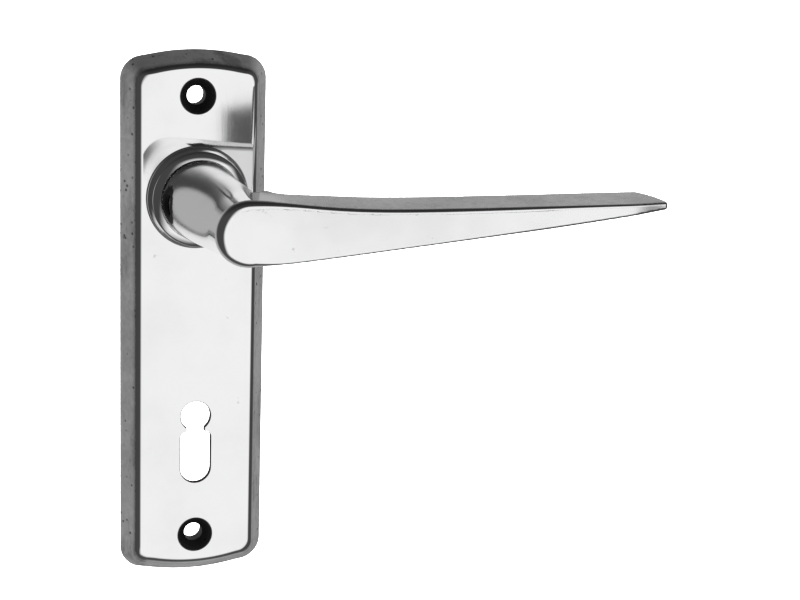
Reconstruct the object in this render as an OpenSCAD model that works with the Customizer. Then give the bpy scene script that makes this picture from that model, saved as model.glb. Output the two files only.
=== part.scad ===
// Door lever handle on a long back plate, for a mortice lock with the keyhole below the lever.
// Frame: X points along the lever, +Y points into the door, Z is up.
// The origin is on the lever's turning axis in the plane of the door face.

/* [Plate] */
// Overall width of the back plate at the door face
plate_width = 46.8; // [43:0.1:60]
// Distance from the lever axis down to the centre of the keyhole head
key_centres = 72; // [62:0.5:92]
// Height of the lever axis below the upper fixing hole
fixing_above = 32; // [28:0.1:42]
// Height of the keyhole head above the lower fixing hole
fixing_below_key = 40.4; // [32:0.1:60]
// Plate length beyond each fixing hole centre
plate_end = 14; // [11:0.1:24]
// How far the front face stands off the door
plate_relief = 7.2; // [6.9:0.1:12]
// Thickness of the cast shell
wall = 1.8; // [1.4:0.1:2.1]
// How much the side walls lean in from door to front face
wall_draft = 3.9; // [3:0.1:5]
// Corner radius of the plate outline at the door face
corner_radius = 7.5; // [5:0.1:11]
// Rise of the arched top and bottom ends
end_rise = 1.8; // [0.6:0.1:3]
// Diameter of the fixing screw holes
fixing_hole = 6; // [4:0.1:6.6]
// Diameter of the countersinks at the front face
countersink = 11.7; // [9:0.1:12.6]

/* [Keyhole] */
// Diameter of the round head of the keyhole
key_head = 9.6; // [8:0.1:11]
// Width of the lower slot of the keyhole
key_slot = 9.8; // [8:0.1:12]
// Width of the waist between head and slot
key_waist = 5.6; // [4.5:0.1:7]
// Distance from the head centre to the bottom of the slot
key_drop = 22.4; // [19:0.1:28]

/* [Hub] */
// Radius of the raised collar where it meets the plate
collar_radius = 15.75; // [15.2:0.05:17]
// How far the collar stands proud of the plate
collar_height = 5.5; // [4:0.1:9]
// Radius of the opening in the collar
collar_bore = 12.7; // [12.6:0.1:13]
// Radius of the lever shank that turns in the bush
shank_radius = 9; // [8:0.1:9.4]
// Radial running clearance of the shank in the bush
running_gap = 0.06; // [0.02:0.01:0.1]

/* [Lever] */
// Distance from the lever axis to the tip of the grip
lever_length = 135.5; // [100:0.5:160]
// Distance from the door face to the front of the grip
lever_projection = 68; // [56:0.5:85]
// Depth of the grip from its front face to its back face
grip_depth = 16; // [12:0.5:20]
// Radius of the neck where it enters the collar
neck_radius = 12.4; // [12:0.05:12.5]
// Radius of the rounded end of the grip beside the axis
grip_end_radius = 9.95; // [8.5:0.05:11]
// How far the neck leans towards the tip between collar and grip
neck_lean = 2.6; // [0:0.1:4]
// Downward turn of the lever from rest to its stop, in degrees
lever_throw = 42; // [30:1:50]

/* [Spindle and screw] */
// Side of the square spindle
spindle_side = 8; // [7:0.5:9]
// How far the spindle reaches into the door
spindle_reach = 58; // [30:1:80]
// Diameter of the grub screw thread
grub_diameter = 6; // [5:0.5:7]
// Distance of the grub screw axis from the door face
grub_height = 19.6; // [18:0.1:24]

/* [Spring] */
// Diameter of the spring wire
wire = 1.3; // [1:0.1:1.4]
// Turns in the spring coil
coil_turns = 2; // [1.5:0.25:2]

/* [Hidden] */
$fn = 96;
eps = 0.01;
fit = 0.05;

aluminium = [0.80, 0.81, 0.82];
aluminium_side = [0.62, 0.63, 0.64];
dark_steel = [0.22, 0.22, 0.23];
zinc_steel = [0.66, 0.68, 0.70];
spring_steel = [0.50, 0.51, 0.53];
nylon = [0.90, 0.89, 0.85];

half_width = plate_width / 2;
fixing_low = key_centres + fixing_below_key;
plate_top = fixing_above + plate_end;
plate_bottom = -fixing_low - plate_end;
inner_face = plate_relief - wall;
floor_front = plate_relief + 0.5;
collar_front = plate_relief + collar_height;
flange_front = floor_front + 1.2;
shoulder = flange_front + fit;
bush_radius = shank_radius + 1.5;
washer_back = inner_face - 0.7;
carrier_front = washer_back - 0.05;
keyed_radius = shank_radius - 0.8;
keyed_half = shank_radius - 2.2;
key_step = 0.95;
carrier_back = 0.1;
ring_back = -1.05;
ring_front = 0.05;
groove_radius = keyed_radius - 0.8;
shank_end = -2.4;
sleeve_radius = shank_radius + 1.3;
coil_radius = sleeve_radius + 0.25 + wire / 2;
coil_back = key_step + 0.1 + wire / 2;
coil_front = washer_back - 0.1 - wire / 2;
carrier_radius = coil_radius + wire / 2 + 1.0;
stop_radius = carrier_radius + 2.3;
tab_half = 2.5;
post_radius = 1.5;
socket_depth = 27;
neck_start = collar_front + 9;
half_spindle = spindle_side / 2;
socket_half = half_spindle + fit;
grip_back = lever_projection - grip_depth;

// Puts a shape drawn in the front view onto the door: x stays, y becomes up, z is height off the door.
module front() {
  rotate([90, 0, 0]) children();
}

// Points of an arc about a centre, from one angle to another.
function arc(cx, cy, r, a0, a1, n) =
  [for (i = [0 : n]) [cx + r * cos(a0 + (a1 - a0) * i / n), cy + r * sin(a0 + (a1 - a0) * i / n)]];

// Half outline of one arched end: straight side, rounded corner, shallow arch.
function arched_end(hw, top, rc, rise) =
  let (half = hw - rc,
       R = (half * half + rise * rise) / (2 * rise),
       lean = asin(half / R),
       cy = top - rise - rc)
  concat(arc(half, cy, rc, 0, 90 - lean, 10),
         arc(0, top - R, R, 90 - lean * 0.96, 90 + lean * 0.96, 16),
         arc(-half, cy, rc, 90 + lean, 180, 10));

function flip(pts) = [for (i = [0 : len(pts) - 1]) [-pts[i][0], -pts[i][1]]];

// Plate outline, drawn in by an inset all round.
module outline(inset, rc) {
  top = arched_end(half_width - inset, plate_top - inset, rc, end_rise);
  bottom = flip(arched_end(half_width - inset, -plate_bottom - inset, rc, end_rise));
  polygon(concat(top, bottom));
}

// One thin slice of the plate body.
module slice(z, inset, rc) {
  translate([0, 0, z]) linear_extrude(eps) outline(inset, rc);
}

// Solid envelope of the plate: leaning walls and a rounded front edge.
module plate_body() {
  hull() {
    slice(0, 0, corner_radius);
    slice(0.9, 0.15, corner_radius);
    slice(plate_relief - 1.9, wall_draft - 1.0, corner_radius - 2.6);
    slice(plate_relief - 0.9, wall_draft - 0.2, corner_radius - 3.0);
    slice(plate_relief - 0.3, wall_draft + 0.6, corner_radius - 3.4);
    slice(plate_relief - eps, wall_draft + 1.6, corner_radius - 3.8);
  }
}

// Hollow behind the plate, open to the door.
module plate_hollow() {
  hull() {
    slice(-eps, wall + 0.2, corner_radius - 1.5);
    slice(inner_face - eps, wall_draft + wall * 0.75, corner_radius - 4);
  }
}

// Keyhole drawn flat, head centre at the local origin.
module keyhole() {
  low = key_drop - key_slot / 2;
  circle(d = key_head);
  translate([-key_waist / 2, -key_head / 2 - 2]) square([key_waist, key_head / 2 + 1]);
  translate([0, -low]) circle(d = key_slot);
  translate([-key_slot / 2, -low]) square([key_slot, low - key_head / 2 - 2.6]);
  translate([-key_slot / 2 + 2, -low]) square([key_slot - 4, low - key_head / 2 - 0.6]);
  for (s = [-1, 1]) {
    translate([s * (key_slot / 2 - 2), -key_head / 2 - 2.6]) circle(r = 2);
  }
}

// Raised collar round the neck, revolved about the lever axis.
module collar_shell() {
  rotate_extrude() polygon([
    [collar_bore - 2.4, inner_face + eps], [collar_radius - 0.8, inner_face + eps],
    [collar_radius + 0.9, plate_relief - 0.2], [collar_radius + 0.25, plate_relief + 0.35],
    [collar_radius - 0.1, plate_relief + 1.1], [collar_radius - 0.75, collar_front - 1.1],
    [collar_radius - 1.05, collar_front - 0.4], [collar_radius - 1.6, collar_front],
    [collar_bore + 0.35, collar_front], [collar_bore, collar_front - 0.35],
    [collar_bore, floor_front], [collar_bore - 2.4, floor_front]]);
}

// Round post standing on the back of the front wall.
module post(r, tall) {
  translate([0, 0, inner_face - tall]) cylinder(r = r, h = tall + 0.5, $fn = 40);
}

// Fixing hole with its countersink and thickened pillar.
module fixing_cut() {
  sink = (countersink - fixing_hole) / 2;
  translate([0, 0, -1]) cylinder(d = fixing_hole, h = plate_relief + 2);
  translate([0, 0, plate_relief - sink])
    cylinder(d1 = fixing_hole, d2 = countersink, h = sink + eps);
  translate([0, 0, plate_relief]) cylinder(d = countersink, h = 1);
}

module back_plate() {
  color(aluminium) front() difference() {
    union() {
      difference() {
        plate_body();
        plate_hollow();
      }
      for (z = [fixing_above, -fixing_low]) {
        translate([0, z, 0]) cylinder(d = countersink + 3, h = inner_face + 0.5);
      }
      translate([0, -key_centres - key_drop / 2 + key_head / 4, inner_face - 1.6])
        linear_extrude(1.8) square([key_slot + 4, key_drop + key_head / 2 + 4], center = true);
      collar_shell();
      rotate([0, 0, 0]) translate([-stop_radius, -tab_half - post_radius - 0.04, 0])
        post(post_radius, inner_face - 0.4);
      rotate([0, 0, -lever_throw]) translate([-stop_radius, tab_half + post_radius + 0.04, 0])
        post(post_radius, inner_face - 0.4);
      rotate([0, 0, 300]) translate([coil_radius + 3.6, -wire / 2 - 1.25, 0])
        post(1.2, inner_face - 1.4);
    }
    translate([0, 0, -1]) cylinder(r = bush_radius + fit, h = plate_relief + 4);
    translate([0, 0, floor_front]) cylinder(r = collar_bore, h = collar_height + 4);
    for (z = [fixing_above, -fixing_low]) {
      translate([0, z, 0]) fixing_cut();
    }
    translate([0, -key_centres, -1]) linear_extrude(plate_relief + 2) keyhole();
  }
}

// Flanged nylon bush the lever turns in.
module bearing_bush() {
  bore = shank_radius + running_gap;
  color(nylon) front() rotate_extrude() polygon([
    [bore + 0.3, inner_face], [bush_radius - 0.3, inner_face],
    [bush_radius, inner_face + 0.3], [bush_radius, floor_front],
    [collar_bore - 0.2, floor_front], [collar_bore - 0.2, flange_front - 0.25],
    [collar_bore - 0.45, flange_front], [bore + 0.3, flange_front],
    [bore, flange_front - 0.3], [bore, inner_face + 0.3]]);
}

// Flat washer behind the plate wall.
module thrust_washer() {
  color(zinc_steel) front() translate([0, 0, washer_back]) difference() {
    cylinder(r = coil_radius + wire / 2 + 0.9, h = inner_face - washer_back);
    translate([0, 0, -1]) cylinder(r = shank_radius + 0.25, h = 4);
  }
}

// Points of a ring of wire section at one place on the coil.
function wire_ring(a, h, n) =
  [for (k = [0 : n - 1]) let (u = 360 * k / n)
    [(coil_radius + wire / 2 * cos(u)) * cos(a), (coil_radius + wire / 2 * cos(u)) * sin(a),
     h + wire / 2 * sin(u)]];

// Torsion spring: a short coil with two straight legs.
module return_spring() {
  n = 10;
  sweep = 360 * (coil_turns - 1) + 240;
  steps = round(sweep / 9);
  rings = [for (i = [0 : steps])
    wire_ring(60 - sweep * i / steps, coil_back + (coil_front - coil_back) * i / steps, n)];
  points = [for (i = [0 : steps]) for (k = [0 : n - 1]) rings[i][k]];
  skin = [for (i = [0 : steps - 1]) for (k = [0 : n - 1])
    [(i + 1) * n + k, (i + 1) * n + (k + 1) % n, i * n + (k + 1) % n, i * n + k]];
  cap_a = [[for (k = [0 : n - 1]) k]];
  cap_b = [[for (k = [n - 1 : -1 : 0]) steps * n + k]];
  color(spring_steel) front() union() {
    polyhedron(points, concat(skin, cap_a, cap_b), convexity = 6);
    rotate([0, 0, 60]) translate([coil_radius - 0.2, 0, coil_back]) rotate([0, 90, 0])
      cylinder(d = wire, h = 4.6, $fn = 20);
    rotate([0, 0, 60 - sweep]) translate([coil_radius - 0.2, 0, coil_front]) rotate([0, 90, 0])
      cylinder(d = wire, h = 5.4, $fn = 20);
  }
}

// A cross-section of the grip: four rounded corners at one place along it.
module station(x, top, bottom, near, far, r) {
  for (p = [[near - r, top - r], [far + r, top - r + 0.07 * (near - far)],
            [near - r, bottom + r], [far + r, bottom + r + 0.04 * (near - far)]]) {
    translate([x, p[1], p[0]]) sphere(r = r, $fn = 20);
  }
}

// Rounded end of the grip, standing beside the lever axis.
module grip_end() {
  translate([neck_lean, 0, 0]) rotate_extrude($fn = 64) polygon(concat(
    [[0, grip_back - 1], [grip_end_radius, grip_back + 1]],
    arc(grip_end_radius - 1.6, lever_projection - 1.6, 1.6, 0, 90, 5),
    [[0, lever_projection]]));
}

// Shank and foot of the neck, turned about the lever axis.
module neck_foot() {
  rotate_extrude() polygon([
    [0, key_step], [shank_radius, key_step], [shank_radius, shoulder],
    [neck_radius - 0.3, shoulder], [neck_radius, shoulder + 0.3],
    [neck_radius, collar_front + 3], [neck_radius - 0.1, neck_start], [0, neck_start]]);
}

// One round section of the neck, part of the way from foot to grip.
module neck_section(share, r) {
  translate([neck_lean * share, 0, neck_start + (grip_back + 3 - neck_start) * share - 0.1])
    cylinder(r = r, h = 0.1);
}

// The neck leans a little towards the tip as it narrows.
module neck() {
  neck_foot();
  hull() {
    neck_section(0, neck_radius - 0.25);
    neck_section(0.35, neck_radius - 0.45);
    neck_section(0.7, neck_radius * 0.5 + grip_end_radius * 0.5 + 0.1);
    neck_section(1, grip_end_radius + 0.25);
  }
  // Web that fills the inner corner between neck and grip
  hull() {
    for (z = [5.2, -5.6]) {
      translate([8.4, z, grip_back - 9]) sphere(r = 2, $fn = 24);
      translate([8.4, z * 1.1, grip_back + 4]) sphere(r = 2, $fn = 24);
      translate([19, z * 1.08, grip_back + 1.8]) sphere(r = 1.6, $fn = 24);
      translate([13, z * 1.05, grip_back - 1.6]) sphere(r = 1.6, $fn = 24);
    }
  }
}

module grip() {
  hull() {
    grip_end();
    station(18, 8.6, -9.1, lever_projection, grip_back, 1.6);
  }
  hull() {
    station(18, 8.6, -9.1, lever_projection, grip_back, 1.6);
    station(lever_length * 0.26, 6.7, -7.5, lever_projection, grip_back, 1.6);
  }
  hull() {
    station(lever_length * 0.26, 6.7, -7.5, lever_projection, grip_back, 1.6);
    station(lever_length - 7, 5.75, 2.5, lever_projection, grip_back, 1.1);
    station(lever_length - 0.8, 5.0, 3.5, lever_projection - 1.2, grip_back + 7, 0.7);
  }
}

// Double-D end of the shank that carries the spring carrier and the ring.
module keyed_end(gap) {
  intersection() {
    cylinder(r = keyed_radius + gap, h = 20, center = true);
    cube([40, 2 * (keyed_half + gap), 20], center = true);
  }
}

module lever() {
  color(aluminium) front() difference() {
    union() {
      neck();
      grip();
      intersection() {
        keyed_end(0);
        translate([-20, -20, shank_end]) cube([40, 40, key_step - shank_end + 0.5]);
      }
    }
    translate([-socket_half, -socket_half, shank_end - 1])
      cube([2 * socket_half, 2 * socket_half, socket_depth - shank_end + 1]);
    translate([0, 0, grub_height]) rotate([0, -90, 0])
      cylinder(d = grub_diameter + 0.1, h = neck_radius + 5, $fn = 48);
    translate([-neck_radius + 1.0, 0, grub_height]) rotate([0, -90, 0])
      cylinder(d1 = grub_diameter + 0.1, d2 = grub_diameter + 3.4, h = 1.7, $fn = 48);
    difference() {
      translate([0, 0, ring_back - fit]) cylinder(r = 20, h = ring_front - ring_back + 2 * fit);
      translate([0, 0, ring_back - 1]) cylinder(r = groove_radius, h = 5);
    }
  }
}

// Grub screw with a driving slot and a cone point, tightened onto the spindle.
module grub_screw() {
  outer = neck_radius - 1.4;
  tip = half_spindle + 0.02;
  color(dark_steel) front() translate([0, 0, grub_height]) difference() {
    rotate([0, -90, 0]) rotate_extrude($fn = 48) polygon([
      [0, tip], [grub_diameter / 2 - 1.4, tip], [grub_diameter / 2, tip + 1.2],
      [grub_diameter / 2, outer - 0.5], [grub_diameter / 2 - 0.5, outer], [0, outer]]);
    translate([-outer - 1, -grub_diameter / 2 - 1, -0.5]) cube([2.4, grub_diameter + 2, 1]);
  }
}

// Square bar that turns the follower of the lock.
module spindle() {
  total = spindle_reach + socket_depth - 1;
  color(zinc_steel) front() intersection() {
    translate([-half_spindle, -half_spindle, -spindle_reach])
      cube([spindle_side, spindle_side, total]);
    union() {
      translate([0, 0, -spindle_reach + 1])
        cylinder(r = half_spindle * 1.38, h = total - 2, $fn = 64);
      translate([0, 0, -spindle_reach])
        cylinder(r1 = half_spindle * 1.12, r2 = half_spindle * 1.38, h = 1 + eps, $fn = 64);
      translate([0, 0, -spindle_reach + total - 1 - eps])
        cylinder(r1 = half_spindle * 1.38, r2 = half_spindle * 1.12, h = 1 + eps, $fn = 64);
    }
  }
}

// Flanged sleeve keyed to the shank: it carries the coil, the stop tab and the spring lug.
module spring_carrier() {
  color(zinc_steel) front() difference() {
    union() {
      translate([0, 0, carrier_back]) cylinder(r = carrier_radius, h = key_step - fit - carrier_back);
      translate([0, 0, carrier_back]) cylinder(r = sleeve_radius, h = carrier_front - carrier_back);
      translate([-stop_radius - 1.6, -tab_half, carrier_back])
        cube([6, 2 * tab_half, key_step - fit - carrier_back]);
      rotate([0, 0, 60]) translate([coil_radius + 1.6, wire / 2 + 0.06, carrier_back])
        cube([2.6, 1.3, coil_back + wire / 2 + 0.3 - carrier_back]);
      rotate([0, 0, 60]) translate([coil_radius - 1, wire / 2 + 0.06, carrier_back])
        cube([4, 1.3, key_step - fit - carrier_back]);
    }
    keyed_end(fit);
    translate([0, 0, key_step - fit]) cylinder(r = shank_radius + 0.1, h = 20);
  }
}

// External circlip with two pliers ears.
module retaining_ring() {
  color(dark_steel) front() translate([0, 0, ring_back]) difference() {
    union() {
      rotate([0, 0, 112]) rotate_extrude(angle = 316)
        translate([groove_radius + fit, 0]) square([2.1, ring_front - ring_back]);
      for (s = [-1, 1]) {
        rotate([0, 0, 90 + s * 27]) translate([groove_radius + 1.9, 0, 0])
          cylinder(r = 1.6, h = ring_front - ring_back, $fn = 32);
      }
    }
    for (s = [-1, 1]) {
      rotate([0, 0, 90 + s * 27]) translate([groove_radius + 2.0, 0, -1])
        cylinder(r = 0.7, h = 4, $fn = 24);
    }
    translate([0, 0, -1]) cylinder(r = groove_radius + fit, h = 4);
  }
}

back_plate();
bearing_bush();
thrust_washer();
return_spring();
lever();
grub_screw();
spindle();
spring_carrier();
retaining_ring();
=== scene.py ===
"""Door lever handle on a long back plate: detailed visual model, materials, studio and camera.

Shapes are given in millimetres in a front view: x right, z up, d = height off the door. Materials, which see
the object's own coordinates, and the studio are in metres."""
import math

import bmesh
import bpy
import numpy as np
from mathutils import Matrix, Vector


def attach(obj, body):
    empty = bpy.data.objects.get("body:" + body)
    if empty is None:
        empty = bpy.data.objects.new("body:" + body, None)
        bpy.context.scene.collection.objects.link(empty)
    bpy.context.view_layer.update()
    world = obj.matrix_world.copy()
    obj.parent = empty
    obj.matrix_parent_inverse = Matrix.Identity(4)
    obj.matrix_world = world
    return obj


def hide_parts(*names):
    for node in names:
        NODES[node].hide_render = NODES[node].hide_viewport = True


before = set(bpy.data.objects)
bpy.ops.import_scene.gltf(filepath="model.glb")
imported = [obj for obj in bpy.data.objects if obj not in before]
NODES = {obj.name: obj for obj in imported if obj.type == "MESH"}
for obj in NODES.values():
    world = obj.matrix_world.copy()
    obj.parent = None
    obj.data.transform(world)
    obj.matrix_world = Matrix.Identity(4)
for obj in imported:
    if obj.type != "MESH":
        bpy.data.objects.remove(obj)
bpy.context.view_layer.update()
MM = 0.001

# back plate
RELIEF = 7.2                                  # height of the flat front
TOP, BOTTOM, HALF_W = 46.0, -126.4, 23.4
FIX_HIGH, FIX_LOW, KEY = 32.0, -112.4, -72.0  # heights of the fixing holes and of the key's axis
COLLAR_BORE, HUB_BORE, SCREW_BORE = 12.7, 10.55, 3.0
BEYOND = -2.0                                 # cutting tools start this far behind the door side

# lever
LEAN = 2.6                                    # sideways lean of the neck at the grip
PROJ, BACK = 67.98, 52.0                      # front of the grip, kept just inside the CAD, and its back
TAPER_START, TAPER = 18.0, 0.061              # the neck thins from this depth on, by this much for each mm
THROW = 42.0                                  # degrees from rest to pressed down
GRUB_D, GRUB_BORE = 19.6, 3.08                # grub screw hole: height off the door and radius
CELL = 0.45                                   # size of the grid that the lever is skinned on


# ---------------------------------------------------------------- mesh helpers
def new_object(name, verts, faces, material=None):
    """A smooth-shaded mesh object from points given as (x, z, d) in millimetres."""
    mesh = bpy.data.meshes.new(name)
    mesh.from_pydata([(x * MM, -d * MM, z * MM) for x, z, d in verts], [], faces)
    mesh.validate()
    mesh.update()
    obj = bpy.data.objects.new(name, mesh)
    bpy.context.scene.collection.objects.link(obj)
    bm = bmesh.new()
    bm.from_mesh(mesh)
    bmesh.ops.recalc_face_normals(bm, faces=bm.faces)
    for f in bm.faces:
        f.smooth = True
    bm.to_mesh(mesh)
    bm.free()
    if material:
        mesh.materials.append(material)
    return obj


def loft(name, loops, caps=True, material=None):
    """Skins closed loops of equal length."""
    n = len(loops[0])
    verts = [p for loop in loops for p in loop]
    faces = []
    for i in range(len(loops) - 1):
        for k in range(n):
            j = (k + 1) % n
            faces.append((i * n + k, i * n + j, (i + 1) * n + j, (i + 1) * n + k))
    if caps:
        faces.append(tuple(range(n)))
        faces.append(tuple((len(loops) - 1) * n + k for k in range(n)))
    return new_object(name, verts, faces, material)


def at_depth(points, d):
    return [(x, z, d) for x, z in points]


def ring(r, d, n, cx, cz):
    return [(cx + r * math.cos(2 * math.pi * k / n), cz + r * math.sin(2 * math.pi * k / n), d)
            for k in range(n)]


def turned(name, profile, n=128, cx=0.0, cz=0.0, closed=False):
    """A turned solid from (radius, depth) points; closed joins the last point to the first."""
    loops = [ring(r, d, n, cx, cz) for r, d in profile]
    if not closed:
        return loft(name, loops)
    loops.append(loops[0])
    obj = loft(name, loops, False)
    weld(obj)
    return obj


def weld(obj, dist=1e-6):
    bm = bmesh.new()
    bm.from_mesh(obj.data)
    bmesh.ops.remove_doubles(bm, verts=bm.verts, dist=dist)
    bmesh.ops.recalc_face_normals(bm, faces=bm.faces)
    bm.to_mesh(obj.data)
    bm.free()


def prism(name, points, d0, d1):
    return loft(name, [at_depth(points, d0), at_depth(points, d1)])


def rectangle(x0, x1, z0, z1):
    return [(x0, z0), (x1, z0), (x1, z1), (x0, z1)]


def carve(obj, tools, how="DIFFERENCE"):
    """Boolean with several tools, applied, and the tools removed."""
    for t in tools:
        m = obj.modifiers.new("b", "BOOLEAN")
        m.operation = how
        m.object = t
        m.solver = "EXACT"
    bpy.context.view_layer.update()
    graph = bpy.context.evaluated_depsgraph_get()
    mesh = bpy.data.meshes.new_from_object(obj.evaluated_get(graph))
    obj.modifiers.clear()
    obj.data = mesh
    for t in tools:
        bpy.data.objects.remove(t)


def lies_flat(face, depth):
    """Whether a face lies in the front plane at a depth given in millimetres."""
    return face.normal.y < -0.9999 and abs(face.calc_center_median().y + depth * MM) < 1e-5


def finish_shading(obj, angle=32.0, flat_at=None):
    """Smooth shading with hard edges past an angle and round a flat front, and normals weighted by area."""
    bm = bmesh.new()
    bm.from_mesh(obj.data)
    bmesh.ops.remove_doubles(bm, verts=bm.verts, dist=2e-7)
    for f in bm.faces:
        f.smooth = True
    for e in bm.edges:
        e.smooth = not (len(e.link_faces) == 2 and e.calc_face_angle(0) > math.radians(angle))
        if flat_at and len({lies_flat(f, flat_at) for f in e.link_faces}) == 2:
            e.smooth = False
    bm.to_mesh(obj.data)
    bm.free()
    m = obj.modifiers.new("weighted", "WEIGHTED_NORMAL")
    m.keep_sharp = True
    m.mode = "FACE_AREA"
    m.weight = 90


# ---------------------------------------------------------------- node helpers
def tree(name):
    """A material with a Principled shader: (material, node tree, shader, object coordinates)."""
    mat = bpy.data.materials.new(name)
    mat.use_nodes = True
    nt = mat.node_tree
    nt.nodes.clear()
    out = nt.nodes.new("ShaderNodeOutputMaterial")
    bsdf = nt.nodes.new("ShaderNodeBsdfPrincipled")
    nt.links.new(bsdf.outputs[0], out.inputs[0])
    coord = nt.nodes.new("ShaderNodeTexCoord")
    return mat, nt, bsdf, coord.outputs["Object"]


def split(nt, vec):
    """The x, y and z outputs of a vector."""
    sep = nt.nodes.new("ShaderNodeSeparateXYZ")
    nt.links.new(vec, sep.inputs[0])
    return sep.outputs


def noise(nt, vec, scale, detail=4.0, rough=0.55, stretch=None, offset=(0, 0, 0)):
    if stretch:
        m = nt.nodes.new("ShaderNodeMapping")
        m.inputs["Scale"].default_value = stretch
        m.inputs["Location"].default_value = offset
        nt.links.new(vec, m.inputs[0])
        vec = m.outputs[0]
    n = nt.nodes.new("ShaderNodeTexNoise")
    n.inputs["Scale"].default_value = scale
    n.inputs["Detail"].default_value = detail
    n.inputs["Roughness"].default_value = rough
    nt.links.new(vec, n.inputs["Vector"])
    return n.outputs[0]


def spread(nt, value, a, b, lo, hi):
    """Smooth change from lo at a to hi at b."""
    m = nt.nodes.new("ShaderNodeMapRange")
    m.interpolation_type = "SMOOTHSTEP"
    for i, v in zip((1, 2, 3, 4), (a, b, lo, hi)):
        m.inputs[i].default_value = v
    nt.links.new(value, m.inputs[0])
    return m.outputs[0]


def math_node(nt, op, a, b=0.0):
    m = nt.nodes.new("ShaderNodeMath")
    m.operation = op
    for i, v in enumerate((a, b)):
        if isinstance(v, (int, float)):
            m.inputs[i].default_value = v
        else:
            nt.links.new(v, m.inputs[i])
    return m.outputs[0]


def times(nt, a, b):
    return math_node(nt, "MULTIPLY", a, b)


def soft_box(nt, value, a0, a1, b0, b1):
    """1 between a1 and b0, fading to 0 at a0 and b1."""
    return times(nt, spread(nt, value, a0, a1, 0, 1), spread(nt, value, b0, b1, 1, 0))


def distance(nt, a, b):
    """Length of the two-part vector (a, b)."""
    return math_node(nt, "SQRT", math_node(nt, "ADD", times(nt, a, a), times(nt, b, b)))


def blend_colour(nt, factor, a, b):
    m = nt.nodes.new("ShaderNodeMix")
    m.data_type = "RGBA"
    nt.links.new(factor, m.inputs[0])
    for i, v in ((6, a), (7, b)):
        if isinstance(v, (tuple, list)):
            m.inputs[i].default_value = (*v, 1.0)
        else:
            nt.links.new(v, m.inputs[i])
    return m.outputs[2]


def shade(colour, factor):
    return tuple(c * factor for c in colour)


def bump(nt, bsdf, layers):
    """Chains bump layers of (height, strength, distance in metres)."""
    last = None
    for height, strength, reach in layers:
        b = nt.nodes.new("ShaderNodeBump")
        b.inputs["Strength"].default_value = strength
        b.inputs["Distance"].default_value = reach
        nt.links.new(height, b.inputs["Height"])
        if last is not None:
            nt.links.new(last, b.inputs["Normal"])
        last = b.outputs[0]
    nt.links.new(last, bsdf.inputs["Normal"])


def pits(nt, vec, scale, size):
    v = nt.nodes.new("ShaderNodeTexVoronoi")
    v.inputs["Scale"].default_value = scale
    nt.links.new(vec, v.inputs["Vector"])
    return spread(nt, v.outputs["Distance"], size * 0.4, size, 1.0, 0.0)


# ---------------------------------------------------------------- materials
def polished_and_cast(name, mask_of, grime_and_shade, bright, dull, rough_polish, rough_cast, brush,
                      extra=None, grit=0.55, wear=0.8):
    """Aluminium that is polished where the mask is 1 and left as cast where it is 0, with grime and painted
    shade over both.

    brush stretches the polishing lines, extra adds roughness to the polish, and grit and wear set how coarse
    and how stained the cast surface is."""
    mat, nt, bsdf, vec = tree(name)
    bsdf.inputs["Metallic"].default_value = 1.0
    mask = mask_of(nt, vec)
    cloud = noise(nt, vec, 38, 5)
    fine = noise(nt, vec, 700, 3)
    lines = noise(nt, vec, 300, 6, 0.6, brush)
    rare = spread(nt, noise(nt, vec, 110, 3), 0.42, 0.54, 0.0, 1.0)
    hole = times(nt, times(nt, pits(nt, vec, 380, 0.25), rare), wear)

    cast_tone = blend_colour(nt, spread(nt, cloud, 0.35, 0.68, 0, 1), dull, shade(dull, 0.8))
    smear = spread(nt, noise(nt, vec, 75, 7, 0.68, (1, 1, 0.3), (0.3, 0.1, 0.7)), 0.50, 0.66, 0, wear)
    cast_tone = blend_colour(nt, smear, cast_tone, shade(dull, 0.42))
    cast_tone = blend_colour(nt, hole, cast_tone, shade(dull, 0.1))
    shine_tone = blend_colour(nt, spread(nt, cloud, 0.38, 0.7, 0, 1), bright, shade(bright, 0.95))
    speck = times(nt, spread(nt, noise(nt, vec, 260, 2), 0.72, 0.78, 0, 1), 0.5)
    shine_tone = blend_colour(nt, speck, shine_tone, shade(bright, 0.55))
    tone = blend_colour(nt, mask, cast_tone, shine_tone)
    dirt_and_shade = grime_and_shade(nt, vec)
    # Near-black colour where the mask is set: painted shade in the holes and countersinks, and grime round
    # the screw mouth.
    tone = blend_colour(nt, dirt_and_shade, tone, (0.025, 0.025, 0.027))
    nt.links.new(tone, bsdf.inputs["Base Color"])

    r_shine = math_node(nt, "ADD", spread(nt, cloud, 0.3, 0.7, rough_polish * 0.75, rough_polish * 1.3),
                        spread(nt, lines, 0.5, 0.75, 0.0, 0.018))
    if extra:
        r_shine = math_node(nt, "ADD", r_shine, extra(nt, vec))
    r_cast = spread(nt, fine, 0.3, 0.7, rough_cast * 0.85, rough_cast * 1.2)
    mix = nt.nodes.new("ShaderNodeMix")
    nt.links.new(mask, mix.inputs[0])
    nt.links.new(r_cast, mix.inputs[2])
    nt.links.new(r_shine, mix.inputs[3])
    roughness = math_node(nt, "MAXIMUM", mix.outputs[0], times(nt, dirt_and_shade, 0.6))
    nt.links.new(roughness, bsdf.inputs["Roughness"])

    not_mask = math_node(nt, "SUBTRACT", 1.0, mask)
    rough_height = times(nt, math_node(nt, "SUBTRACT", fine, hole), not_mask)
    wave = noise(nt, vec, 26, 2)
    bump(nt, bsdf, [(rough_height, grit, 0.00012), (lines, 0.06, 0.00003), (wave, 0.05, 0.0003)])
    return mat


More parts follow.
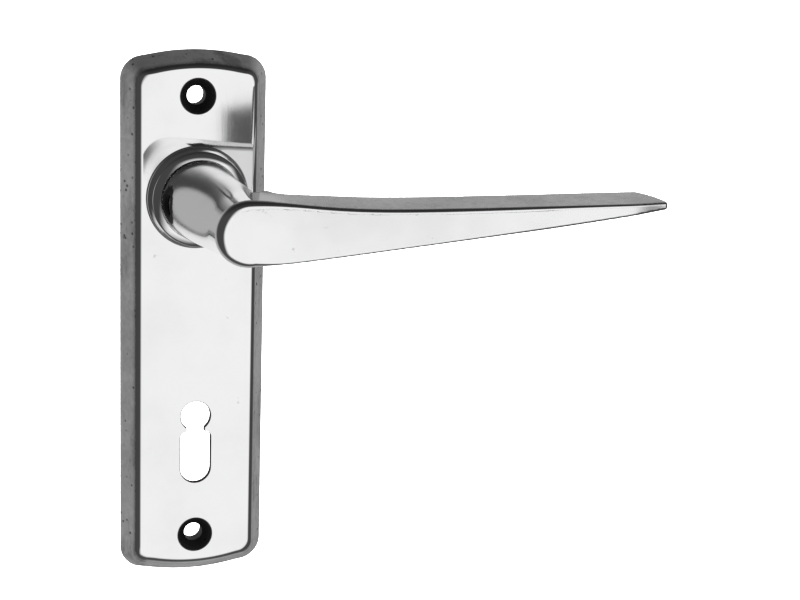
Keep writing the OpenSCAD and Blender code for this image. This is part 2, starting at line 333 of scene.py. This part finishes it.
def plain_metal(name, colour, rough, grain=(1, 1, 1), scale=260, dark=0.6, metallic=1.0):
    """A drawn, stamped or moulded surface with stains and a fine grain."""
    mat, nt, bsdf, vec = tree(name)
    bsdf.inputs["Metallic"].default_value = metallic
    stain = noise(nt, vec, scale * 0.3, 5, 0.6)
    lines = noise(nt, vec, scale, 5, 0.6, grain)
    tone = blend_colour(nt, spread(nt, stain, 0.4, 0.72, 0, 1), colour, shade(colour, dark))
    nt.links.new(tone, bsdf.inputs["Base Color"])
    roughness = spread(nt, lines, 0.25, 0.75, rough * 0.7, min(1.0, rough * 1.45))
    nt.links.new(roughness, bsdf.inputs["Roughness"])
    bump(nt, bsdf, [(lines, 0.25, 0.00006), (stain, 0.15, 0.0001)])
    return mat


def front_mask(nt, vec):
    """1 on the flat front and its rounded edge, and 0 on the leaning side walls and behind."""
    return spread(nt, split(nt, vec)[1], -0.0066, -0.0060, 1.0, 0.0)


def lever_mask(nt, vec):
    """0 on the upward face of the grip, which is left as cast, and 1 elsewhere."""
    coord = nt.nodes.new("ShaderNodeTexCoord")
    upward = spread(nt, split(nt, coord.outputs["Normal"])[2], 0.80, 0.93, 0.0, 1.0)
    past_neck = spread(nt, split(nt, vec)[0], 0.008, 0.016, 0.0, 1.0)
    return math_node(nt, "SUBTRACT", 1.0, times(nt, upward, past_neck))


def neck_rough(nt, vec):
    """The neck is brushed rather than buffed."""
    return spread(nt, split(nt, vec)[1], -0.060, -0.046, 0.0, 0.07)


def screw_burrs_and_painted_shade(nt, vec):
    """Dark burrs and dirt round the mouth of the grub screw hole, and painted shade in the hole and its
    mouth.
    """
    x, y, z = split(nt, vec)
    reach = distance(nt, math_node(nt, "ADD", y, GRUB_D * MM), z)
    ragged = times(nt, noise(nt, vec, 520, 4, 0.7), 0.0052)
    # Painted shade in the screw hole and its mouth, with burrs and dirt round it.
    near = spread(nt, math_node(nt, "SUBTRACT", reach, ragged), 0.0031, 0.0042, 1.0, 0.0)
    return times(nt, near, spread(nt, x, -0.0098, -0.0086, 1.0, 0.0))


def sink_painted_shade(nt, vec):
    """Painted shade: countersinks and keyhole walls painted dark and dull."""
    x, y, z = split(nt, vec)
    # Painted shade: the keyhole walls and the countersinks are darkened.
    beside = spread(nt, math_node(nt, "ABSOLUTE", x), 0.0052, 0.0053, 0.9, 0.0)
    keyhole = times(nt, beside, soft_box(nt, z, -0.0955, -0.0954, -0.0667, -0.0665))
    found = times(nt, keyhole, spread(nt, y, -0.00718, -0.00714, 0.0, 1.0))
    for height in (FIX_HIGH, FIX_LOW):
        reach = distance(nt, math_node(nt, "SUBTRACT", z, height * MM), x)
        found = math_node(nt, "MAXIMUM", found, spread(nt, reach, 0.0054, 0.00585, 0.9, 0.0))
    return found


POLISH = (0.905, 0.905, 0.91)
plate_mat = polished_and_cast("plate_aluminium", front_mask, sink_painted_shade, POLISH, (0.74, 0.74, 0.745),
                              0.032, 0.42, (1, 1, 0.05))
lever_mat = polished_and_cast("lever_aluminium", lever_mask, screw_burrs_and_painted_shade, POLISH, (0.86, 0.86, 0.865),
                              0.085, 0.30, (0.05, 1, 1), neck_rough, 0.10, 0.3)
screw_mat = plain_metal("screw_steel", (0.42, 0.42, 0.43), 0.3, scale=900, dark=0.3)
spindle_mat = plain_metal("spindle_steel", (0.60, 0.61, 0.63), 0.30, (1, 0.04, 1), 500, 0.78)
washer_mat = plain_metal("washer_steel", (0.62, 0.63, 0.65), 0.34, scale=600, dark=0.75)
carrier_mat = plain_metal("carrier_steel", (0.55, 0.56, 0.58), 0.36, scale=600, dark=0.7)
spring_mat = plain_metal("spring_wire", (0.40, 0.41, 0.43), 0.28, scale=800, dark=0.6)
ring_mat = plain_metal("ring_steel", (0.12, 0.12, 0.13), 0.42, scale=700, dark=0.6)
bush_mat = plain_metal("bush_nylon", (0.78, 0.77, 0.72), 0.45, scale=400, dark=0.9, metallic=0.0)


# ---------------------------------------------------------------- back plate
def plate_end(top, half_width, rc, rise):
    """One arched end, from right to left: a corner, the shallow arch and a corner."""
    corner_steps, arch_steps = 14, 24
    half = half_width - rc
    big = (half * half + rise * rise) / (2 * rise)
    lean = math.asin(half / big)
    cz = top - rise - rc
    out = []
    for i in range(corner_steps + 1):
        a = (math.pi / 2 - lean) * i / corner_steps
        out.append((half + rc * math.cos(a), cz + rc * math.sin(a)))
    for i in range(1, arch_steps):
        a = math.pi / 2 - lean + 2 * lean * i / arch_steps
        out.append((big * math.cos(a), top - big + big * math.sin(a)))
    for i in range(corner_steps + 1):
        a = math.pi / 2 + lean + (math.pi / 2 - lean) * i / corner_steps
        out.append((-half + rc * math.cos(a), cz + rc * math.sin(a)))
    return out


def outline(inset, rc, rise=1.8):
    """Plate outline with corner radius rc: straight sides, divided evenly, between two arched ends."""
    side_steps = 40
    high = plate_end(TOP - inset, HALF_W - inset, rc, rise)
    low = [(-x, -z) for x, z in plate_end(-BOTTOM - inset, HALF_W - inset, rc, rise)]
    full = []
    for end, other in ((high, low), (low, high)):
        p, q = end[-1], other[0]
        full += end
        full += [(p[0] + (q[0] - p[0]) * k / side_steps, p[1] + (q[1] - p[1]) * k / side_steps)
                 for k in range(1, side_steps)]
    return full


def plate_loops():
    """Outside of the plate, as (depth, inset, corner radius), from the door up to the front face."""
    out = [(0.0, 0.0, 7.5), (0.5, 0.02, 7.5), (1.0, 0.3, 7.35)]
    wall_steps, edge_steps = 8, 16
    wall_top, crest, face = (5.2, 3.0), (RELIEF, 4.3), (RELIEF, 6.1)
    for i in range(1, wall_steps):
        t = i / wall_steps
        out.append((1.0 + 4.2 * t, 0.3 + 2.7 * t, 7.35 - 2.4 * t))
    for i in range(edge_steps + 1):
        t = i / edge_steps
        w = ((1 - t) ** 2, 2 * t * (1 - t), t * t)
        d, inset = (w[0] * wall_top[k] + w[1] * crest[k] + w[2] * face[k] for k in (0, 1))
        out.append((d, inset, 4.95 - 1.3 * t))
    return out


def keyhole_outline(grow=0.0):
    """A round hole for the key's barrel over a slot for its bit, grown outwards by grow."""
    r, neck, half = 4.8 + grow, 2.8 + grow, 4.9 + grow
    shoulder, corner, slot_end = KEY - 5.3, 1.9, KEY - 17.5
    gap = math.asin(neck / r)
    pts = []
    for i in range(41):
        a = -math.pi / 2 + gap + (2 * math.pi - 2 * gap) * i / 40
        pts.append((r * math.cos(a), KEY + r * math.sin(a)))
    pts.append((-neck, shoulder + 0.4))
    for i in range(9):
        a = math.pi / 2 + math.pi / 2 * i / 8
        pts.append((-half + corner + corner * math.cos(a), shoulder - corner + corner * math.sin(a)))
    for i in range(25):
        a = math.pi + math.pi * i / 24
        pts.append((half * math.cos(a), slot_end + half * math.sin(a)))
    for i in range(9):
        a = math.pi / 2 * i / 8
        pts.append((half - corner + corner * math.cos(a), shoulder - corner + corner * math.sin(a)))
    pts.append((neck, shoulder + 0.4))
    return pts


def rotated(x, z, degrees):
    """A point turned about the lever's axis."""
    a = math.radians(degrees)
    return x * math.cos(a) - z * math.sin(a), x * math.sin(a) + z * math.cos(a)


def collar_tool():
    """The raised ring round the neck: fillet at its foot, drafted wall, rounded corner and conical rim."""
    wall_steps = 5
    foot = [(10.0, 5.3), (14.9, 5.3), (16.9, 7.0), (16.35, 7.24), (16.0, 7.5), (15.78, 7.95), (15.7, 8.5)]
    wall = [(15.62 - 0.42 * t / wall_steps, 8.5 + 2.6 * t / wall_steps) for t in range(1, wall_steps + 1)]
    corner = [(15.14, 11.6), (15.06, 11.82), (14.85, 11.96)]
    rim = [(14.4, 12.15), (13.9, 12.34), (13.4, 12.52), (12.79, 12.69), (12.72, 12.64)]
    inside = [(COLLAR_BORE, 12.4), (COLLAR_BORE, 7.7), (10.0, 7.7)]
    return turned("collar", foot + wall + corner + rim + inside, 160, closed=True)


def pads():
    """Screw pillars and the thicker pad round the keyhole."""
    tools = [turned("pillar", [(7.45, 0.0), (7.35, 5.0), (7.35, 5.9)], 96, 0, z) for z in (FIX_HIGH, FIX_LOW)]
    return tools + [prism("key_pad", rectangle(-6.9, 6.9, KEY - 24.6, KEY + 6.9), 3.8, 5.8)]


def stops_and_anchor():
    """The two stops that the carrier's tab meets at rest and pressed down, and the spring's anchor."""
    stop = [(1.3, 0.4), (1.5, 0.6), (1.5, 5.8)]
    places = (rotated(-16.08, -4.04, 0), rotated(-16.08, 4.04, -THROW))
    tools = [turned("stop", stop, 40, *place) for place in places]
    return tools + [turned("anchor", [(1.0, 1.4), (1.2, 1.6), (1.2, 5.8)], 40, *rotated(14.8, -1.9, 300))]


def plate_cuts():
    cuts = [turned("bore", [(HUB_BORE, BEYOND), (HUB_BORE, 9.0)], 128),
            turned("mouth", [(COLLAR_BORE, 7.7), (COLLAR_BORE, 16.0)], 160)]
    countersink = [(SCREW_BORE, BEYOND), (SCREW_BORE, 4.35), (3.12, 4.5), (5.5, 6.96), (5.66, 7.12),
                   (5.85, 7.22), (5.85, 9.0)]
    cuts += [turned("screw_hole", countersink, 96, 0, z) for z in (FIX_HIGH, FIX_LOW)]
    chamfer = [at_depth(keyhole_outline(grow), d) for grow, d in ((0, 6.9), (0.45, 7.35))]
    cuts.append(loft("keyhole_rim", chamfer))
    cuts.append(prism("keyhole", keyhole_outline(), BEYOND, 10))
    cuts.append(prism("keyhole_back", keyhole_outline(0.9), BEYOND, 5.7))
    return cuts


def build_plate():
    plate = loft("back_plate_cast", [at_depth(outline(i, rc), d) for d, i, rc in plate_loops()],
                 material=plate_mat)
    hollow = ((-0.5, 1.9, 6.0), (0.0, 2.0, 6.0), (4.6, 4.6, 4.4), (5.2, 5.1, 4.0), (5.4, 6.0, 3.6))
    carve(plate, [loft("hollow", [at_depth(outline(i, rc), d) for d, i, rc in hollow])])
    carve(plate, pads() + [collar_tool()] + stops_and_anchor(), "UNION")
    carve(plate, plate_cuts())
    finish_shading(plate, flat_at=RELIEF)
    return plate


# ---------------------------------------------------------------- lever, from a distance field
def step(a, b, v):
    """Smooth change from 0 at a to 1 at b."""
    t = np.clip((v - a) / (b - a), 0, 1)
    return t * t * (3 - 2 * t)


def round_both(terms, r):
    """Rounded intersection of several distances."""
    inside = np.minimum(np.maximum.reduce(terms), -r)
    return inside + np.sqrt(sum(np.maximum(t + r, 0) ** 2 for t in terms))


def smooth_union(a, b, k):
    h = np.maximum(k - np.abs(a - b), 0) / k
    return np.minimum(a, b) - h * h * k * 0.25


def grip_top(x):
    """Upper edge of the grip: nearly straight, and rising over the neck."""
    s = np.maximum(x - LEAN, 0)
    return 5.62 + 0.36 * (1 - s / 133) + 3.97 * np.exp(-((s / 24) ** 1.6))


def grip_bottom(x):
    """Lower edge of the grip: level under the neck, then a rising line that lifts more near the tip."""
    base, soft = -9.9, 0.55
    line = -8.0 + 0.1 * (x - 29)
    low = base + soft * np.logaddexp(0, (line - base) / soft)
    return low + 0.62 * (np.maximum(x - 88, 0) / 42) ** 2


def neck_radius(d):
    """Tapers evenly from the foot, and eases into the grip's half height near d = 58."""
    ease, end, end_radius = 3.5, 58.0, 9.93
    to_go = np.minimum(ease * np.logaddexp(0, (end - d) / ease), end + 0.4 - TAPER_START)
    return end_radius + TAPER * to_go


def lever_field(x, z, d):
    """Signed distance, close to the surface, of neck, grip and grub screw hole."""
    upper = step(-4, 4, z)
    thin = 0.95 + 0.7 * upper * (1 - 0.85 * step(60, 133, x))
    edge = thin + (2.9 - 0.7 * upper) * (1 - step(-9, 15 + 6 * upper, x))
    crisp = 0.16 * edge
    near = d - (PROJ - 0.00006 * np.maximum(x - 40, 0) ** 2 - 1.1 * step(122, 137, x))

    barrel = np.hypot(x - LEAN * step(TAPER_START, 58, d), z) - neck_radius(d)
    neck = np.maximum.reduce([round_both([barrel - crisp, near], edge), barrel, 9.8 - d])

    rise = 0.07 * (PROJ - d) * step(4, 34, x)
    top, low = grip_top(x) + rise, grip_bottom(x)
    tip = (x - (135.3 - 0.0225 * np.maximum(67 - d, 0) ** 2)) * 0.93
    band = np.maximum(z - top, low - z) * 0.99
    grip = np.maximum.reduce([round_both([band - crisp, near, BACK - d, tip], edge), band, LEAN - x])

    joined = smooth_union(neck, grip, 0.02 + 9.2 * step(6, 12, x) * (1 - step(50, 58, d)))
    slack = 3.0 * step(50, 56, d) + 4.0 * (1 - step(5, 10, x))
    above = np.minimum(neck, z - top - rise) - slack
    below = np.minimum(neck, low - z) - slack
    body = np.maximum.reduce([joined, above, below])

    from_axis = np.hypot(z, d - GRUB_D)
    drill = np.maximum(from_axis - GRUB_BORE, x + 2)
    mouth = np.maximum((from_axis - 4.0 + (x + 12.1)) * 0.707, x + 2)
    return round_both([body, -np.minimum(drill, mouth)], 0.3)


def slope(field, pts, e=0.02):
    """Gradient and value of a field at points."""
    cols = [pts[:, i] for i in range(3)]
    out = []
    for i in range(3):
        plus, minus = list(cols), list(cols)
        plus[i], minus[i] = cols[i] + e, cols[i] - e
        out.append((field(*plus) - field(*minus)) / (2 * e))
    return np.stack(out, 1), field(*cols)


def neighbours(axis):
    """Slices that pair each grid point with the next one along an axis."""
    first, second = [slice(None)] * 3, [slice(None)] * 3
    first[axis], second[axis] = slice(0, -1), slice(1, None)
    return tuple(first), tuple(second)


def crossing_points(f, grid):
    """For each grid cell, how many of its edges the surface crosses, and the sum of the crossings."""
    shape = f.shape
    count = np.zeros([n - 1 for n in shape])
    total = np.zeros([n - 1 for n in shape] + [3])
    for axis in range(3):
        first, second = neighbours(axis)
        f0, f1 = f[first], f[second]
        cross = (f0 < 0) != (f1 < 0)
        t = np.where(cross, f0 / np.where(cross, f0 - f1, 1), 0)
        point = grid[first] + (grid[second] - grid[first]) * t[..., None]
        others = [a for a in range(3) if a != axis]
        for du in (0, 1):
            for dv in (0, 1):
                pick = [slice(None)] * 3
                pick[others[0]] = slice(du, shape[others[0]] - 1 + du)
                pick[others[1]] = slice(dv, shape[others[1]] - 1 + dv)
                c = cross[tuple(pick)]
                count += c
                total += point[tuple(pick)] * c[..., None]
    return count, total


def cell_quads(inside, index):
    """One quad round each crossed grid edge, joining the points of the four cells that share it."""
    limits = np.array(index.shape)
    quads = []
    for axis in range(3):
        first, second = neighbours(axis)
        others = [a for a in range(3) if a != axis]
        where = np.argwhere(inside[first] != inside[second])
        where = where[(where[:, others[0]] > 0) & (where[:, others[1]] > 0)]
        ok = np.ones(len(where), bool)
        cells = []
        for du, dv in ((1, 1), (0, 1), (0, 0), (1, 0)):
            c = where.copy()
            c[:, others[0]] -= du
            c[:, others[1]] -= dv
            ok &= (c[:, others[0]] < limits[others[0]]) & (c[:, others[1]] < limits[others[1]])
            cells.append(np.minimum(c, limits - 1))
        quad = np.stack([index[tuple(c.T)] for c in cells], 1)[ok]
        quads.append(quad[(quad >= 0).all(1)])
    return np.concatenate(quads)


def skin(field, lows, highs, h):
    """Closed quad mesh of a distance field: one point per crossed cell, moved onto the surface."""
    axes = [np.arange(a, b + h, h) for a, b in zip(lows, highs)]
    gx, gz, gd = np.meshgrid(*axes, indexing="ij")
    f = field(gx, gz, gd)
    count, total = crossing_points(f, np.stack([gx, gz, gd], -1))
    used = count > 0
    index = -np.ones(count.shape, int)
    index[used] = np.arange(used.sum())
    pts = total[used] / count[used][:, None]
    for _ in range(4):
        g, val = slope(field, pts)
        pts -= np.clip(val / np.maximum((g ** 2).sum(1), 0.2), -0.3, 0.3)[:, None] * g
    return pts, cell_quads(f < 0, index)


def build_lever():
    """Neck and grip as one casting, with shading normals taken from the field."""
    pts, quads = skin(lever_field, (-14.2, -13.6, 9.0), (137.0, 13.6, 69.4), CELL)
    faces = [tuple(int(i) for i in quad) for quad in quads]
    body = new_object("lever_cast", [tuple(p) for p in pts], faces, lever_mat)
    co = np.zeros(len(body.data.vertices) * 3)
    body.data.vertices.foreach_get("co", co)
    co = co.reshape(-1, 3) / MM
    g, _ = slope(lever_field, np.stack([co[:, 0], co[:, 2], -co[:, 1]], 1), 0.04)
    g /= np.maximum(np.linalg.norm(g, axis=1), 1e-9)[:, None]
    body.data.normals_split_custom_set_from_vertices([(a, -c, b) for a, b, c in g])
    return body


def keyed_ring(r, half, d, n=96):
    """A circle with its top and bottom cut flat at half."""
    return [(r * math.cos(a), max(-half, min(half, r * math.sin(a))), d)
            for a in (2 * math.pi * k / n for k in range(n))]


def build_shank():
    """Turned journal, keyed end with its ring groove, and the square socket."""
    flat, whole, socket_half = 6.8, 99.0, 4.05
    key = ((-2.4, 7.8, 6.6), (-2.1, 8.2, flat), (-1.1, 8.2, flat), (-1.1, 7.4, flat), (0.1, 7.4, flat),
           (0.1, 8.2, flat), (0.95, 8.2, flat))
    journal = ((0.95, 8.8, whole), (1.15, 9.0, whole), (10.2, 9.0, whole))
    shank = loft("lever_shank", [keyed_ring(r, half, d) for d, r, half in key + journal], material=lever_mat)
    carve(shank, [prism("socket", rectangle(-socket_half, socket_half, -socket_half, socket_half), -4, 9.7)])
    finish_shading(shank)
    return shank


# ---------------------------------------------------------------- grub screw
def build_screw():
    """Slotted grub screw with a cut thread, lying along -x."""
    root, crest, pitch, sides = 2.55, 2.98, 0.8, 56
    profile, x = [(0.4, 4.02), (1.6, 4.02), (root, 5.0)], 5.0
    while x < 10.2:
        profile += [(crest, x + 0.32), (crest, x + 0.42), (root, x + pitch)]
        x += pitch
    profile += [(2.95, 10.5), (2.9, 10.75), (2.45, 11.0), (0.4, 11.0)]
    loops = [[(-t, z, GRUB_D + up) for up, z, _ in ring(r, 0, sides, 0, 0)] for r, t in profile]
    screw = loft("grub_screw_cut", loops, material=screw_mat)
    low, high = GRUB_D - 0.5, GRUB_D + 0.5
    slot = [[(x, -4, low), (x, 4, low), (x, 4, high), (x, -4, high)] for x in (-12, -9.4)]
    carve(screw, [loft("slot", slot)])
    finish_shading(screw, 25)
    return screw


# ---------------------------------------------------------------- CAD pieces kept, with finishes
def dress(node, mat):
    materials = NODES[node].data.materials
    materials.clear()
    materials.append(mat)


# ---------------------------------------------------------------- studio
FLOOR_Z, FLOOR_RADIUS, SURROUND_RADIUS = -0.32, 3.9, 4.0


def stage_material(name, grey, glow):
    mat, _, bsdf, _ = tree(name)
    bsdf.inputs["Roughness"].default_value = 0.9
    bsdf.inputs["Base Color"].default_value = (grey, grey, grey, 1)
    bsdf.inputs["Emission Color"].default_value = (1, 1, 1, 1)
    bsdf.inputs["Emission Strength"].default_value = glow
    mat.cycles.emission_sampling = "NONE"
    return mat


def stage_object(name, bm, mat):
    """A part of the studio that the camera sees and the metal doesn't."""
    mesh = bpy.data.meshes.new(name)
    bm.to_mesh(mesh)
    bm.free()
    for p in mesh.polygons:
        p.use_smooth = True
    mesh.materials.append(mat)
    obj = bpy.data.objects.new(name, mesh)
    bpy.context.scene.collection.objects.link(obj)
    obj.visible_glossy = False
    obj.visible_shadow = False
    return obj


def make_stage():
    """A pale floor and a white surround; the metal reflects only the world."""
    bm = bmesh.new()
    bmesh.ops.create_circle(bm, cap_ends=True, segments=96, radius=FLOOR_RADIUS,
                            matrix=Matrix.Translation((0, 0, FLOOR_Z)))
    floor = stage_object("floor", bm, stage_material("pale_floor", 0.93, 0.35))
    bm = bmesh.new()
    bmesh.ops.create_uvsphere(bm, u_segments=48, v_segments=24, radius=SURROUND_RADIUS)
    surround = stage_object("surround", bm, stage_material("white_surround", 0.9, 1.3))


def world_card(nt, u, v, front):
    """A bright card low in front of the handle, with a dark flag in it that the plate's front mirrors."""
    slant = math_node(nt, "MINIMUM", times(nt, v, 0.45), times(nt, v, 0.15))
    side = math_node(nt, "SUBTRACT", u, slant)
    card = times(nt, soft_box(nt, side, -0.34, 0.10, 0.62, 1.1), soft_box(nt, v, -1.5, -0.7, 0.34, 0.52))
    card = times(nt, card, front)
    across = math_node(nt, "MINIMUM", math_node(nt, "SUBTRACT", u, 0.225), 0.03)
    tilt = math_node(nt, "SUBTRACT", v, times(nt, across, 0.15))
    flag = times(nt, soft_box(nt, u, 0.2215, 0.2305, 1.3, 1.6),
                 soft_box(nt, tilt, -0.1735, -0.1705, -0.1475, -0.1425))
    flag = times(nt, flag, front)
    return times(nt, card, math_node(nt, "SUBTRACT", 1.0, times(nt, flag, 0.97)))


def world_walls(nt, direction, y, z):
    """Grey walls, darker in front and overhead, a dim floor, and a soft bright spot behind on the right."""
    walls = times(nt, spread(nt, y, -0.25, 0.12, 0.06, 0.43), spread(nt, z, 0.35, 0.9, 1.0, 0.36))
    below = times(nt, spread(nt, z, -0.8, -0.5, 0.07, 0.0), spread(nt, y, -0.2, 0.6, 1.0, 0.4))
    rest = math_node(nt, "MAXIMUM", walls, below)
    toward = nt.nodes.new("ShaderNodeVectorMath")
    toward.operation = "DOT_PRODUCT"
    nt.links.new(direction, toward.inputs[0])
    toward.inputs[1].default_value = Vector((0.24, 0.95, -0.2)).normalized()
    return math_node(nt, "ADD", rest, spread(nt, toward.outputs["Value"], 0.945, 0.985, 0.0, 0.4))


def make_world():
    """The studio that the metal reflects, set by direction alone: u across and v up, as seen in front."""
    world = bpy.data.worlds.new("studio")
    world.use_nodes = True
    nt = world.node_tree
    back = nt.nodes["Background"]
    coord = nt.nodes.new("ShaderNodeTexCoord")
    direction = coord.outputs["Generated"]
    x, y, z = split(nt, direction)
    ahead = math_node(nt, "MAXIMUM", times(nt, y, -1.0), 0.05)
    u = math_node(nt, "DIVIDE", x, ahead)
    v = math_node(nt, "DIVIDE", z, ahead)
    front = spread(nt, y, -0.5, -0.25, 1, 0)
    glow = math_node(nt, "ADD", times(nt, world_card(nt, u, v, front), 0.9), world_walls(nt, direction, y, z))
    nt.links.new(glow, back.inputs[1])
    back.inputs[0].default_value = (1, 1, 1, 1)
    world.cycles.sampling_method = "MANUAL"
    world.cycles.sample_map_resolution = 1024
    bpy.context.scene.world = world


def soft_light(name, loc, target, size, power):
    data = bpy.data.lights.new(name, "AREA")
    data.shape = "RECTANGLE"
    data.size, data.size_y, data.energy = size, size, power
    obj = bpy.data.objects.new(name, data)
    obj.location = loc
    obj.rotation_mode = "QUATERNION"
    obj.rotation_quaternion = (Vector(target) - Vector(loc)).to_track_quat("-Z", "Y")
    obj.visible_glossy = False
    bpy.context.scene.collection.objects.link(obj)


def add_camera(location, yaw, pitch, roll, lens_mm):
    """A camera that looks along +y before it is turned; angles in radians."""
    data = bpy.data.cameras.new("camera")
    data.sensor_width = 36.0
    data.lens = lens_mm
    data.clip_start = 0.01
    camera = bpy.data.objects.new("camera", data)
    camera.matrix_world = (Matrix.Translation(location) @ Matrix.Rotation(yaw, 4, "Z")
                           @ Matrix.Rotation(pitch, 4, "X") @ Matrix.Rotation(math.pi / 2, 4, "X")
                           @ Matrix.Rotation(roll, 4, "Z"))
    bpy.context.scene.collection.objects.link(camera)
    bpy.context.scene.camera = camera


# ---------------------------------------------------------------- the scene
plate = build_plate()
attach(plate, "plate")
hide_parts("back_plate")

lever = build_lever()
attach(lever, "lever")
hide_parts("lever")

shank = build_shank()
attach(shank, "lever")
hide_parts("lever")

screw = build_screw()
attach(screw, "lever")
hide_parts("grub_screw")

dress("bearing_bush", bush_mat)
dress("thrust_washer", washer_mat)
dress("return_spring", spring_mat)
dress("spindle", spindle_mat)
dress("spring_carrier", carrier_mat)
dress("retaining_ring", ring_mat)

make_stage()
make_world()
soft_light("top_light", (-0.4, -0.7, 1.4), (0, 0, 0), 1.2, 8)
add_camera((-0.13304, -0.63156, 0.11814), -0.31183, -0.23109, 0.0312, 91.97325)
bpy.context.scene.view_settings.view_transform = "Standard"

bpy.context.view_layer.update()
